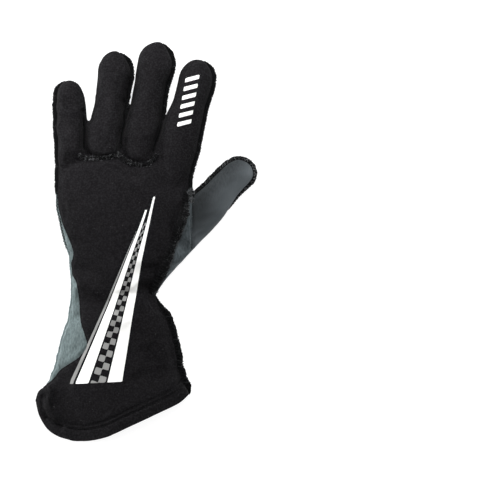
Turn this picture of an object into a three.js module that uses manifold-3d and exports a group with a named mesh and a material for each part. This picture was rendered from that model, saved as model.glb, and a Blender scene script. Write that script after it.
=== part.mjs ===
// A left-hand racing glove lying palm down: fingers along +Y, thumb towards +X, floor at z = 0.
// Millimetres. The origin is on the floor, under the middle of the glove's plan.
import * as THREE from 'three';
import * as BufferGeometryUtils from 'three/addons/utils/BufferGeometryUtils.js';
import Module from 'manifold-3d';

// Driving dimensions
const fabricThickness = 2.0;
const seamGap = 0.4;
const ridgeClearance = 0.3;
const floorPress = 3;
const bellySquareness = 3;
const hemBandWidth = 9.6;
const hemExtraThickness = 0.5;
const ridgeReach = 3.1;
const ridgeThickness = 2.4;
const flatRidgeReach = 1.4;
const flatRidgeThickness = 1.8;
const topRidgeWidth = 3.4;
const topRidgeHeight = 2.1;
const curveStep = 7;
const prismFloor = -10;
const prismHeight = 70;
const farAway = 260;
const smallestHalf = 0.3;
const smallestRise = 0.5;
const weldDistance = 1e-4;

// Height above the floor of the side seams, which is also where every section is widest.
const seamHeightRows = [
  { y: -170, height: 10.5 },
  { y: -120, height: 10.8 },
  { y: -44, height: 11.4 },
  { y: 0, height: 11 },
  { y: 60, height: 9.5 },
  { y: 110, height: 8.2 },
  { y: 170, height: 6.4 },
];

// The hand and the cuff are one bag. Each bag or digit is a tube along its own axis, which leans
// from +Y towards +X: left and right are where a section ends, top is its height above the floor.
const hand = {
  rootX: 0,
  rootY: 0,
  lean: 0,
  crown: 2.1,
  sides: 26,
  hollowSides: 16,
  rows: [
    { along: -170, left: 90, right: 47, top: 32 },
    { along: -150, left: 89.5, right: 43, top: 31.6 },
    { along: -132, left: 88.6, right: 39.4, top: 31 },
    { along: -121, left: 85.8, right: 36, top: 30.5 },
    { along: -112, left: 77.8, right: 33, top: 30 },
    { along: -103, left: 72.6, right: 30.2, top: 29.5 },
    { along: -92, left: 69.2, right: 28.5, top: 29 },
    { along: -75, left: 65, right: 24.9, top: 28 },
    { along: -62, left: 60.6, right: 19.9, top: 27.2 },
    { along: -52, left: 59.2, right: 13.2, top: 26.6 },
    { along: -44, left: 57.8, right: 8.8, top: 26.2 },
    { along: -34, left: 57.8, right: 13.8, top: 26.4 },
    { along: -22, left: 59, right: 23.8, top: 26.8 },
    { along: -10, left: 60.2, right: 34.4, top: 27 },
    { along: 0, left: 64, right: 37.6, top: 26.8 },
    { along: 14, left: 67.2, right: 37.8, top: 26.4 },
    { along: 30, left: 69.2, right: 36.8, top: 25.4 },
    { along: 46, left: 68.8, right: 33.8, top: 24 },
    { along: 62, left: 69.2, right: 37, top: 21.8 },
    { along: 76, left: 69.6, right: 41, top: 20 },
    { along: 88, left: 68.6, right: 42, top: 16.5 },
    { along: 93.5, left: 64, right: 38, top: 12.5 },
  ],
};

const littleFinger = {
  rootX: -60.4,
  rootY: 73,
  lean: -1.5,
  crown: 2.2,
  sides: 16,
  hollowSides: 10,
  rows: [
    { along: -34, left: 6, right: 11, top: 16 },
    { along: -10, left: 9, right: 13, top: 20.5 },
    { along: 8, left: 9.7, right: 14.2, top: 20.5 },
    { along: 26, left: 10.2, right: 14.5, top: 19.6 },
    { along: 38, left: 10, right: 13.2, top: 18.8 },
    { along: 47, left: 9.3, right: 11.2, top: 17.4 },
    { along: 52, left: 6.4, right: 8.4, top: 14.8 },
    { along: 54.4, left: 3.4, right: 5.4, top: 11.8 },
    { along: 55.6, left: 0.8, right: 2.2, top: 9 },
  ],
};

const ringFinger = {
  rootX: -29.2,
  rootY: 73,
  lean: 4.5,
  crown: 2.2,
  sides: 16,
  hollowSides: 10,
  rows: [
    { along: -6.4, left: 5, right: 4, top: 15.5 },
    { along: -4.8, left: 11.6, right: 9.6, top: 19.6 },
    { along: -1, left: 15.8, right: 12.4, top: 22.8 },
    { along: 6, left: 17, right: 13.4, top: 24 },
    { along: 22, left: 16.9, right: 12.6, top: 22.4 },
    { along: 38, left: 15, right: 10.8, top: 20.6 },
    { along: 52, left: 14.6, right: 10.6, top: 19.8 },
    { along: 64, left: 14.6, right: 11.6, top: 18.8 },
    { along: 70, left: 13, right: 9.8, top: 17 },
    { along: 75, left: 9.8, right: 6.2, top: 13.8 },
    { along: 78, left: 6, right: 2.8, top: 10.8 },
    { along: 79.4, left: 2.6, right: 0.6, top: 8.4 },
  ],
};

const middleFinger = {
  rootX: 0.4,
  rootY: 68.2,
  lean: 7,
  crown: 2.2,
  sides: 16,
  hollowSides: 10,
  rows: [
    { along: -6.8, left: 5, right: 2.6, top: 15.5 },
    { along: -5.2, left: 11.6, right: 6.6, top: 19.6 },
    { along: -1, left: 16.4, right: 9.4, top: 23 },
    { along: 7, left: 18.2, right: 11.8, top: 24.4 },
    { along: 24, left: 18.6, right: 11.4, top: 22.8 },
    { along: 40, left: 18.4, right: 7.6, top: 20.8 },
    { along: 56, left: 16.9, right: 8.4, top: 20 },
    { along: 73, left: 16.5, right: 11, top: 19.2 },
    { along: 80, left: 15.5, right: 9.2, top: 17.4 },
    { along: 86, left: 12.4, right: 5.2, top: 14.4 },
    { along: 90, left: 7.4, right: 2.4, top: 11 },
    { along: 92, left: 3, right: 0.6, top: 8.4 },
  ],
};

const indexFinger = {
  rootX: 30.8,
  rootY: 73,
  lean: 10,
  crown: 2.2,
  sides: 16,
  hollowSides: 10,
  rows: [
    { along: -40, left: 12, right: 2, top: 18 },
    { along: -16, left: 15.6, right: 7.4, top: 21.6 },
    { along: 2, left: 18.4, right: 9, top: 21.6 },
    { along: 24, left: 19.2, right: 9.6, top: 20.6 },
    { along: 38, left: 15.6, right: 10.2, top: 20 },
    { along: 54, left: 14.4, right: 12.2, top: 19 },
    { along: 60, left: 14, right: 11.8, top: 18.2 },
    { along: 65, left: 12.2, right: 9.8, top: 16.6 },
    { along: 69.6, left: 9, right: 6.3, top: 13.8 },
    { along: 72.2, left: 5.6, right: 3.4, top: 11 },
    { along: 73.4, left: 2.4, right: 1.6, top: 8.6 },
  ],
};

const thumb = {
  rootX: 30,
  rootY: 4.2,
  lean: 42.4,
  crown: 2.3,
  sides: 16,
  hollowSides: 10,
  rows: [
    { along: -22, left: 16, right: 6, top: 16 },
    { along: 0, left: 18, right: 12.4, top: 22 },
    { along: 18, left: 18, right: 13.4, top: 22.4 },
    { along: 32, left: 15.6, right: 13.2, top: 21.4 },
    { along: 44, left: 14.6, right: 11, top: 20.4 },
    { along: 56, left: 14, right: 9.5, top: 19.6 },
    { along: 66, left: 12.2, right: 9.3, top: 18.4 },
    { along: 71, left: 9.8, right: 7.8, top: 16.4 },
    { along: 74.1, left: 7, right: 5.2, top: 13.8 },
    { along: 76, left: 3.8, right: 2.6, top: 11.8 },
    { along: 76.7, left: 1, right: 0.4, top: 10.6 },
  ],
};

const everyBag = [hand, littleFinger, ringFinger, middleFinger, indexFinger, thumb];

// Creases in the back of the glove: a valley from one place to another, deepest along its line.
const folds = [
  { fromX: 4, fromY: -38, toX: 22, toY: -74, halfWidth: 5, depth: 2.6 },
  { fromX: -64, fromY: -9, toX: -50, toY: -13, halfWidth: 5, depth: 3 },
  { fromX: -60, fromY: -44, toX: -24, toY: -50, halfWidth: 9, depth: 1.6 },
  { fromX: -84, fromY: -122, toX: -70, toY: -136, halfWidth: 5, depth: 2.4 },
  { fromX: 40, fromY: 34, toX: 50, toY: 20, halfWidth: 6, depth: 2 },
];

// Where the panels meet, seen from above: smooth curves through [x, y] places.
const mouthEdge = [
  [60, -100], [44, -113.6], [36.2, -121], [27.8, -129], [10.4, -137.4], [-9.2, -146.8], [-28, -155.4],
  [-42, -159.3], [-52, -159.8], [-66, -157.6], [-76.6, -152.4], [-83.4, -143.8], [-87, -134], [-88, -127.6],
  [-91, -121], [-97, -117],
];
const thumbSideJoin = [
  [48, 58], [38, 48], [34.2, 41], [31.6, 35], [31, 22], [28.2, 12], [23.4, 0], [19.4, -11], [14, -23],
  [9.6, -33], [7.4, -40.4], [11, -46], [22, -52], [36, -62], [50, -80],
];
const gussetJoin = [
  [-80, 44], [-69.4, 38], [-67, 19], [-61.6, 2], [-56.4, -8.6], [-57, -19], [-55, -31], [-53.6, -47],
  [-51.4, -63], [-48, -74], [-46, -83], [-51.6, -91.4], [-59.6, -97], [-67.6, -102.4], [-72, -108],
  [-76, -112], [-81, -115], [-92, -119],
];
const ringBackJoin = [
  [-44, 120], [-43.6, 106], [-45.2, 95.4], [-46.8, 84], [-46.2, 74], [-42, 68.6], [-35, 66.6], [-28, 67.6],
  [-20, 70], [-14, 76], [-12, 88], [-10, 100], [-8, 120],
];
const middleBackJoin = [
  [-11.6, 124], [-14.5, 107], [-14.8, 98], [-16.8, 88], [-17.8, 77], [-15.8, 68.4], [-10, 63], [-2, 60.6],
  [5.4, 62.4], [11, 68.4], [13.8, 80], [15.4, 92], [16.2, 100], [19, 120],
];
const knuckleRidge = [
  [-50.5, 68], [-46, 67.4], [-41, 65.6], [-35, 64.4], [-27, 65.4], [-20, 66.4], [-14, 63.4], [-8, 60.2],
  [-1.4, 58.4], [6, 60.4], [12.4, 66.4],
];
const barTack = { left: 33.8, right: 38.4, near: 29.5, far: 37.5 };

// The corners that close the plan region beside each of those curves, well outside the glove.
const mouthCorners = [[-120, -100], [-120, 200], [120, 200], [120, -90]];
const thumbSideCorners = [[200, -80], [200, 58]];
const gussetCorners = [[-130, -119], [-130, 44]];
const ringBackCorners = [[8, 175], [-44, 175]];
const middleBackCorners = [[30, 175], [-9, 175]];
const crotchToWrist = [[-120, -44], [120, -44], [120, 44.6], [-120, 44.6]];

// The thumb's own region: the join runs up at x, then slants off through the crotch.
const thumbJoin = { x: 37.4, near: -30, bend: 42, slant: 22, slantEnd: 75, far: 110, right: 120 };

// Which stretch of each side carries an outward seam ridge.
const littleRidgeRegion = [
  [-64.5, 127.5], [-58.4, 84], [-62, 60], [-62, 42.5], [-110, 42.5], [-110, 127.5],
];
const ringRidgeRegion = [[-18.8, 151.5], [-22, 130], [-26, 97], [-8, 97], [-4, 151.5]];
const middleRidgeRegion = [[16.4, 158], [8, 130], [4, 92], [18.4, 92], [28, 158]];
const indexRidgeRegion = [[49, 145.5], [42, 125], [24, 60], [30, 45.5], [37, 45.5], [56, 72], [90, 145.5]];
const thumbRidgeRegion = [
  [38.5, 43], [60, 75], [120, 110], [120, 22], [73, 22], [58.3, 35.2], [48, 32],
];
const gussetRidgeRegion = [[-50, 38], [-50, -120], [-120, -120], [-120, 38]];
const cuffRidgeRegion = [[0, -44.5], [120, -44.5], [120, -150], [0, -150]];

const wasm = await Module();
wasm.setup();

// Height of the side seams, even between the rows of its table.
function seamHeight(y) {
  const next = Math.max(seamHeightRows.findIndex((row) => row.y >= y), 1);
  const [from, to] = seamHeightRows.slice(next - 1, next + 1);
  return THREE.MathUtils.mapLinear(y, from.y, to.y, from.height, to.height);
}

// How far the folds lower the back of the glove at a place.
function foldDepth(x, y) {
  const place = new THREE.Vector3(x, y, 0);
  const nearest = new THREE.Vector3();
  let depth = 0;
  for (const fold of folds) {
    const from = new THREE.Vector3(fold.fromX, fold.fromY, 0);
    const to = new THREE.Vector3(fold.toX, fold.toY, 0);
    new THREE.Line3(from, to).closestPointToPoint(place, true, nearest);
    depth += fold.depth * Math.exp(-((nearest.distanceTo(place) / fold.halfWidth) ** 2));
  }
  return depth;
}

// The outline of a bag for one row of its table, moved inwards by inset and set at a place along
// the bag: a domed back over a belly that the floor presses flat.
function sectionRing(bag, row, along, inset) {
  const lean = THREE.MathUtils.degToRad(bag.lean);
  const left = row.left - inset;
  const right = row.right - inset;
  const top = row.top - inset;
  const half = Math.max((right + left) / 2, smallestHalf);
  const sides = inset > 0 ? bag.hollowSides : bag.sides;
  const ring = [];
  for (let side = 0; side < sides; side += 1) {
    const angle = (2 * Math.PI * side) / sides;
    const power = 2 / (angle < Math.PI ? bag.crown : bellySquareness);
    const across = Math.sign(Math.cos(angle)) * Math.abs(Math.cos(angle)) ** power;
    const up = Math.sign(Math.sin(angle)) * Math.abs(Math.sin(angle)) ** power;
    const offset = (right - left) / 2 + half * across;
    const x = bag.rootX + along * Math.sin(lean) + offset * Math.cos(lean);
    const y = bag.rootY + along * Math.cos(lean) - offset * Math.sin(lean);
    const widest = seamHeight(y);
    const rise = Math.max(top - widest, smallestRise) - foldDepth(x, y);
    const reach = up > 0 ? rise : widest + floorPress - inset;
    ring.push(new THREE.Vector3(x, y, Math.max(widest + up * reach, inset, 0)));
  }
  return ring;
}

// A closed geometry as a solid that can be joined and cut.
function solidFrom(geometry) {
  geometry.deleteAttribute('normal');
  geometry.deleteAttribute('uv');
  const merged = BufferGeometryUtils.mergeVertices(geometry, weldDistance);
  const vertProperties = new Float32Array(merged.attributes.position.array);
  const triVerts = new Uint32Array(merged.index.array);
  return new wasm.Manifold(new wasm.Mesh({ numProp: 3, vertProperties, triVerts }));
}

// The middle of a ring of points.
function middleOf(ring) {
  const sum = new THREE.Vector3();
  ring.forEach((place) => sum.add(place));
  return sum.divideScalar(ring.length);
}

// A closed skin through rings of points, with a fan over each end.
function skinThrough(rings) {
  const sides = rings[0].length;
  const lastStart = (rings.length - 1) * sides;
  const places = [...rings.flat(), middleOf(rings[0]), middleOf(rings[rings.length - 1])];
  const faces = [];
  for (let side = 0; side < sides; side += 1) {
    const next = (side + 1) % sides;
    faces.push(places.length - 2, side, next, places.length - 1, lastStart + next, lastStart + side);
    for (let start = 0; start < lastStart; start += sides) {
      faces.push(start + side, start + sides + side, start + next);
      faces.push(start + next, start + sides + side, start + sides + next);
    }
  }
  const geometry = new THREE.BufferGeometry().setFromPoints(places);
  geometry.setIndex(faces);
  return solidFrom(geometry);
}

// A whole bag, moved inwards by inset on every side and at both ends.
function filledBag(bag, inset) {
  const first = bag.rows[0].along;
  const last = bag.rows[bag.rows.length - 1].along;
  const placeAlong = (row) => THREE.MathUtils.mapLinear(row.along, first, last, first + inset, last - inset);
  return skinThrough(bag.rows.map((row) => sectionRing(bag, row, placeAlong(row), inset)));
}

const joined = (bags, inset) => bags.map((bag) => filledBag(bag, inset)).reduce((sum, bag) => sum.add(bag));

// A flat outline in the plan, made into an upright prism taller than the glove.
function planPrism(places) {
  const outline = new THREE.Shape(places.map(([x, y]) => new THREE.Vector2(x, y)));
  const geometry = new THREE.ExtrudeGeometry(outline, { depth: prismHeight, bevelEnabled: false });
  geometry.translate(0, 0, prismFloor);
  return solidFrom(geometry);
}

// Places along a smooth plan curve, moved to its right by offset, seen along its direction.
function curvePlaces(places, offset = 0) {
  const curve = new THREE.SplineCurve(places.map(([x, y]) => new THREE.Vector2(x, y)));
  const steps = Math.round(curve.getLength() / curveStep);
  const moved = [];
  for (let step = 0; step <= steps; step += 1) {
    const place = curve.getPointAt(step / steps);
    const direction = curve.getTangentAt(step / steps);
    moved.push([place.x + direction.y * offset, place.y - direction.x * offset]);
  }
  return moved;
}

// The prism to one side of a smooth plan curve, closed by far corners.
const sideOf = (places, corners, offset = 0) => planPrism([...curvePlaces(places, offset), ...corners]);

// The prism over a band of even width along a smooth plan curve.
function bandAlong(places, width) {
  const rightEdge = curvePlaces(places, width / 2);
  const leftEdge = curvePlaces(places, -width / 2);
  return planPrism([...rightEdge, ...leftEdge.reverse()]);
}

// Everything higher than the side seams, raised by offset.
function aboveSeams(offset) {
  const profile = seamHeightRows.map((row) => new THREE.Vector2(row.y, row.height + offset));
  const first = profile[0].x;
  const last = profile[profile.length - 1].x;
  const outline = new THREE.Shape([
    ...profile,
    new THREE.Vector2(last, prismHeight),
    new THREE.Vector2(first, prismHeight),
  ]);
  const geometry = new THREE.ExtrudeGeometry(outline, { depth: 2 * farAway, bevelEnabled: false });
  const toPlace = new THREE.Matrix4().makeBasis(
    new THREE.Vector3(0, 1, 0),
    new THREE.Vector3(0, 0, 1),
    new THREE.Vector3(1, 0, 0),
  );
  geometry.applyMatrix4(toPlace);
  geometry.translate(-farAway, 0, 0);
  return solidFrom(geometry);
}

// The whole bag of cloth, cut off along the mouth and its folded hem
const halfGap = seamGap / 2;
const inFromMouth = (distance) => sideOf(mouthEdge, mouthCorners, distance);
const clothBag = joined(everyBag, 0).subtract(joined(everyBag, fabricThickness));
const hemBag = filledBag(hand, -hemExtraThickness).subtract(filledBag(hand, fabricThickness));
const cloth = clothBag.intersect(inFromMouth(hemBandWidth + halfGap));
const upperCloth = cloth.intersect(aboveSeams(halfGap));
const lowerCloth = cloth.subtract(aboveSeams(-halfGap));
const cuffHem = hemBag.intersect(inFromMouth(0)).subtract(inFromMouth(hemBandWidth - halfGap));

// The plan regions of the panels: a positive offset makes each one larger
const ringRegion = (offset) => sideOf(ringBackJoin, ringBackCorners, offset);
const middleRegion = (offset) => sideOf(middleBackJoin, middleBackCorners, offset);
const thumbSide = (offset) => sideOf(thumbSideJoin, thumbSideCorners, offset);
const gussetRegion = (offset) => sideOf(gussetJoin, gussetCorners, -offset);
function thumbRegion(offset) {
  const join = thumbJoin.x - offset;
  return planPrism([
    [join, thumbJoin.near],
    [join, thumbJoin.bend],
    [join + thumbJoin.slant, thumbJoin.slantEnd],
    [thumbJoin.right, thumbJoin.far],
    [thumbJoin.right, thumbJoin.near],
  ]);
}

const middleFingerBack = upperCloth.intersect(middleRegion(-halfGap));
const ringFingerBack = upperCloth.intersect(ringRegion(-halfGap)).subtract(middleRegion(halfGap));
const sideGusset = upperCloth.intersect(gussetRegion(-halfGap));
const backPanel = [middleRegion, ringRegion, gussetRegion, thumbSide, thumbRegion].reduce(
  (rest, region) => rest.subtract(region(halfGap)),
  upperCloth,
);
const thumbBack = upperCloth.intersect(thumbRegion(-halfGap));
const thumbFront = lowerCloth.intersect(thumbRegion(-halfGap));
const underBack = aboveSeams(-halfGap).subtract(thumbSide(-halfGap));
const palmPanel = cloth.subtract(underBack).subtract(thumbRegion(halfGap));

// The raised seams, which follow the cloth a little clear of it
const clearOfCloth = joined(everyBag, -ridgeClearance);
const layerOver = (bags, height) => joined(bags, -height).subtract(clearOfCloth);
function outwardRidge(bags, region, reach = ridgeReach, thickness = ridgeThickness) {
  const seamLevel = aboveSeams(-thickness / 2).subtract(aboveSeams(thickness / 2));
  return layerOver(bags, reach).intersect(seamLevel).intersect(planPrism(region));
}
const onTop = layerOver(everyBag, topRidgeHeight).intersect(aboveSeams(-ridgeThickness / 2));
const clearOfHem = inFromMouth(hemBandWidth + seamGap);
const backSideSeam = onTop
  .intersect(bandAlong(thumbSideJoin, topRidgeWidth))
  .intersect(planPrism(crotchToWrist));
const knuckleSeam = onTop.intersect(bandAlong(knuckleRidge, topRidgeWidth));
const gussetSeam = outwardRidge([hand], gussetRidgeRegion, flatRidgeReach, flatRidgeThickness)
  .intersect(clearOfHem);
const barTackOutline = [
  [barTack.left, barTack.near],
  [barTack.right, barTack.near],
  [barTack.right, barTack.far],
  [barTack.left, barTack.far],
];
const cuffSideSeam = outwardRidge([hand], cuffRidgeRegion, flatRidgeReach, flatRidgeThickness)
  .intersect(clearOfHem);
const thumbBarTack = onTop
  .intersect(planPrism(barTackOutline))
  .subtract(bandAlong(thumbSideJoin, topRidgeWidth + 2 * ridgeClearance));

// Finishes
const blackKnit = { color: 0x252528, roughness: 0.92, metalness: 0 };
const greySuede = { color: 0x66747a, roughness: 0.95, metalness: 0 };
const blackThread = { color: 0x19191b, roughness: 0.85, metalness: 0 };
const greyThread = { color: 0x87908f, roughness: 0.85, metalness: 0 };

const glove = new THREE.Group();

function addPiece(name, solid, finish) {
  const { vertProperties, triVerts } = solid.getMesh();
  const geometry = new THREE.BufferGeometry();
  geometry.setAttribute('position', new THREE.BufferAttribute(vertProperties, 3));
  geometry.setIndex(new THREE.BufferAttribute(triVerts, 1));
  const piece = new THREE.Mesh(geometry, new THREE.MeshStandardMaterial(finish));
  piece.name = name;
  glove.add(piece);
}

addPiece('back_panel', backPanel, blackKnit);
addPiece('ring_finger_back', ringFingerBack, blackKnit);
addPiece('middle_finger_back', middleFingerBack, blackKnit);
addPiece('cuff_hem', cuffHem, blackKnit);
addPiece('palm_panel', palmPanel, greySuede);
addPiece('side_gusset', sideGusset, greySuede);
addPiece('thumb_back', thumbBack, greySuede);
addPiece('thumb_front', thumbFront, greySuede);
addPiece('little_finger_seam', outwardRidge([hand, littleFinger], littleRidgeRegion), blackThread);
addPiece('ring_finger_seam', outwardRidge([ringFinger], ringRidgeRegion), blackThread);
addPiece('middle_finger_seam', outwardRidge([middleFinger], middleRidgeRegion), blackThread);
addPiece('index_finger_seam', outwardRidge([hand, indexFinger], indexRidgeRegion), blackThread);
addPiece('thumb_seam', outwardRidge([thumb], thumbRidgeRegion), blackThread);
addPiece('back_side_seam', backSideSeam, blackThread);
addPiece('cuff_side_seam', cuffSideSeam, blackThread);
addPiece('knuckle_seam', knuckleSeam, blackThread);
addPiece('gusset_seam', gussetSeam, blackThread);
addPiece('thumb_bar_tack', thumbBarTack, greyThread);

export default glove;
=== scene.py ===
import math
from collections import namedtuple

import bpy
import numpy as np
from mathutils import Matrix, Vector
from mathutils.bvhtree import BVHTree
from mathutils.kdtree import KDTree


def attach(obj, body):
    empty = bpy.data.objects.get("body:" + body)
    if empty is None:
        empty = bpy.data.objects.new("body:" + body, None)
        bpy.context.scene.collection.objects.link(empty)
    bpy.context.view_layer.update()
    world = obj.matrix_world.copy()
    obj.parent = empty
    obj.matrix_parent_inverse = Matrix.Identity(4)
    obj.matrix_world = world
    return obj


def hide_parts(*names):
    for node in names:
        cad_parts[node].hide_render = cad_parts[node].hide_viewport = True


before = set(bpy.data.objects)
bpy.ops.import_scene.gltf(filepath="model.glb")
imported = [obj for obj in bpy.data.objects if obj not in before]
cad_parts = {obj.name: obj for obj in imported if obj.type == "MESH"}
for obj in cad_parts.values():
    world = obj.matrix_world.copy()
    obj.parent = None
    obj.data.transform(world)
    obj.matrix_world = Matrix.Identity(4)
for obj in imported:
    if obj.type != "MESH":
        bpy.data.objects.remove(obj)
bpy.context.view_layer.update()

# The whole glove, sewn up and laid palm down: fingers along +Y, thumb towards +X, floor at z = 0.
# Its knit and suede panels make one hollow bag about 2 mm thick, with a tube for each finger. This form
# is worked out in millimetres, and every panel below is cut out of it along its seams.
MILLIMETRE = 0.001
FLOOR_PRESS = 3.0
BELLY_SQUARENESS = 3.0
LEAST_RISE = 0.5
FORM_STEP = 1.6
FORM_SIDES = 64
VOXEL = 1.0

# How high the side seams run, as (y, height).
SEAM_HEIGHTS = np.array([
    (-170, 10.5), (-120, 10.8), (-44, 11.4), (0, 11), (60, 9.5), (110, 8.2), (170, 6.4),
])

# A tube runs from its root and leans so many degrees towards the thumb; a larger crown makes its top
# squarer. Its rows are sections, as (along, left, right, top): the top is measured from the floor.
Tube = namedtuple("Tube", "root lean crown rows")
HAND = Tube(root=(0, 0), lean=0, crown=2.1, rows=[
    (-170, 90, 47, 32), (-150, 89.5, 43, 31.6), (-132, 88.6, 39.2, 31), (-121, 85.8, 34.4, 30.5),
    (-112, 77.8, 30, 30), (-103, 72.8, 26.4, 29.5), (-92, 69.8, 24.6, 29), (-75, 65.4, 20.9, 28),
    (-62, 61, 16.7, 27.2), (-52, 59.6, 11, 26.6), (-44, 58.3, 8.4, 26.2), (-34, 58.3, 13.8, 26.4),
    (-22, 59.4, 23.8, 26.8), (-10, 60.4, 34.4, 27), (0, 64, 37.6, 26.8), (14, 67.2, 37.8, 26.4),
    (30, 70.2, 36.8, 25.4), (46, 69.6, 34.4, 24), (62, 69.2, 37.6, 21.8), (76, 69.6, 41.6, 19),
    (88, 68.6, 42, 14.5), (93.5, 64, 38, 11.5),
])
LITTLE_FINGER = Tube(root=(-60.4, 73), lean=-1.5, crown=2.2, rows=[
    (-34, 6, 11, 12), (-16, 8.6, 13, 16), (-4, 9.4, 14, 19.6), (8, 9.7, 14.7, 20.5), (20, 10.1, 14.6, 19.8),
    (26, 10.2, 14, 19.6), (38, 10, 13.2, 18.8), (47, 8.9, 11, 17.4), (52, 6, 8.2, 14.8),
    (54.4, 3.2, 5.2, 11.8), (55.6, 0.8, 2.2, 9),
])
RING_FINGER = Tube(root=(-29.2, 73), lean=4.5, crown=2.2, rows=[
    (-6.4, 5, 4, 15.5), (-5.2, 12, 9.6, 20.4), (-2.8, 16.2, 11.4, 23), (4, 18.4, 11.6, 24),
    (14, 18.6, 11.4, 23.2), (25, 16.6, 11.2, 22), (38, 14.5, 10.6, 20.6), (52, 14, 11.4, 19.8),
    (64, 14, 12.2, 18.8), (70, 12.4, 10.1, 17), (75, 9.4, 6.4, 13.8), (78, 5.8, 2.8, 10.8),
    (79.4, 2.6, 0.6, 8.4),
])
MIDDLE_FINGER = Tube(root=(0.4, 68.2), lean=7, crown=2.2, rows=[
    (-6.8, 5, 2.6, 15.5), (-5.6, 12, 4.6, 20.4), (-3, 16.6, 5.4, 23.2), (5, 19.2, 6.6, 24.4),
    (14, 19.4, 7.8, 23.8), (24, 18.8, 9.4, 22.8), (40, 17, 8.4, 20.8), (56, 16.4, 9, 20),
    (73, 16, 11.8, 19.2), (80, 15.2, 10.4, 17.4), (86, 12.2, 6.6, 14.4), (90, 7.4, 3.4, 11), (92, 3, 1, 8.4),
])
INDEX_FINGER = Tube(root=(30.8, 73), lean=10, crown=2.2, rows=[
    (-40, 12, 2, 17), (-16, 18, 7.8, 21), (2, 22.6, 9.6, 21.6), (14, 21.6, 10, 21.2), (24, 19.4, 10.3, 20.6),
    (38, 15.6, 10.8, 20), (54, 14.4, 12.8, 19), (60, 14, 12.5, 18.2), (65, 12.2, 10.7, 16.6),
    (69.6, 9, 7.3, 13.8), (72.2, 5.6, 4.2, 11), (73.4, 2.4, 1.8, 8.6),
])
THUMB = Tube(root=(30, 4.2), lean=42.4, crown=2.3, rows=[
    (-22, 16, 11, 16), (-8, 17.2, 13.2, 20), (6, 18, 13.4, 22), (18, 18, 14, 22.2),
    (32, 15, 13.7, 21.4), (44, 13.8, 11.8, 20.4), (56, 13.4, 10.2, 19.6), (67, 12.2, 10.2, 18.4),
    (72.4, 10.2, 9.4, 16.4), (75.8, 7.4, 6.8, 13.8), (77.5, 4, 3.8, 11.8), (78.2, 1.2, 1, 10.6),
])

# Creases in the back of the glove, as (from x, from y, to x, to y, half width, depth). The sharp ones
# are pressed in after the cloth has settled.
SOFT_FOLDS = [
    (4, -38, 14, -74, 5, 2.4), (-64, -20, -48, -22, 4.5, 3.4), (-60, -46, -34, -50, 9, 1.4),
    (-66, -112, -56, -146, 8, 2.0),
]
SHARP_FOLDS = [
    (-81.4, -124, -81.6, -133, 2, 3.6), (-81.6, -133, -77.6, -140, 1.9, 4.4),
    (-77.6, -140, -66, -147.6, 1.8, 4), (-49.8, 104, -48.8, 93, 1.6, 5), (-48.8, 93, -48.9, 78, 1.8, 7),
    (-48.9, 78, -47, 70, 1.7, 6), (-16.8, 112, -17, 94, 1.6, 6), (-17, 94, -18.8, 85, 1.8, 7),
    (-18.8, 85, -19.6, 73, 1.7, 6), (13.6, 98, 11.8, 89, 1.7, 7), (11.8, 89, 8.4, 79, 1.8, 7),
    (8.4, 79, 6.4, 72, 1.6, 5), (13, -54, 19.6, -76, 2.6, 5), (19.6, -76, 22.4, -94, 2.8, 6),
    (22.4, -94, 27.6, -112, 2.8, 5),
]
SHARP_RIDGES = [
    (-76.4, -116, -76.6, -132, 3, 2.2), (-76.6, -132, -71, -139, 3, 2.2), (34.4, 26, 36, -3, 1.1, 1.0),
]


def seam_height(y):
    return np.interp(y, SEAM_HEIGHTS[:, 0], SEAM_HEIGHTS[:, 1])


def fold_depth(x, y, folds):
    depth = np.zeros_like(x)
    for from_x, from_y, to_x, to_y, half_width, deepest in folds:
        run = np.array([to_x - from_x, to_y - from_y])
        share = np.clip(((x - from_x) * run[0] + (y - from_y) * run[1]) / (run @ run), 0, 1)
        away = np.hypot(x - from_x - share * run[0], y - from_y - share * run[1])
        depth = np.maximum(depth, deepest * np.exp(-((away / half_width) ** 2)))
    return depth


def running_total(steps):
    return np.concatenate([[0], np.cumsum(steps)])


def unit(vectors):
    return vectors / np.maximum(np.linalg.norm(vectors, axis=-1, keepdims=True), 1e-12)


def smooth_through(places, values, fine):
    """A smooth line through a table's rows that never swings past them."""
    gap = np.diff(places)
    slope = np.diff(values) / gap
    tangent = np.concatenate([slope[:1], (slope[:-1] + slope[1:]) / 2, slope[-1:]])
    turning = np.concatenate([[False], slope[:-1] * slope[1:] <= 0, [False]])
    tangent[turning] = 0
    steepest = 3 * np.minimum(np.abs(np.append(slope, slope[-1])), np.abs(np.insert(slope, 0, slope[0])))
    tangent = np.clip(tangent, -steepest, steepest)
    row = np.clip(np.searchsorted(places, fine, side="right") - 1, 0, len(gap) - 1)
    u = (fine - places[row]) / gap[row]
    rise = values[row + 1] - values[row]
    start = tangent[row] * gap[row]
    end = tangent[row + 1] * gap[row]
    return values[row] + u * (start + u * (3 * rise - 2 * start - end + u * (start + end - 2 * rise)))


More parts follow.
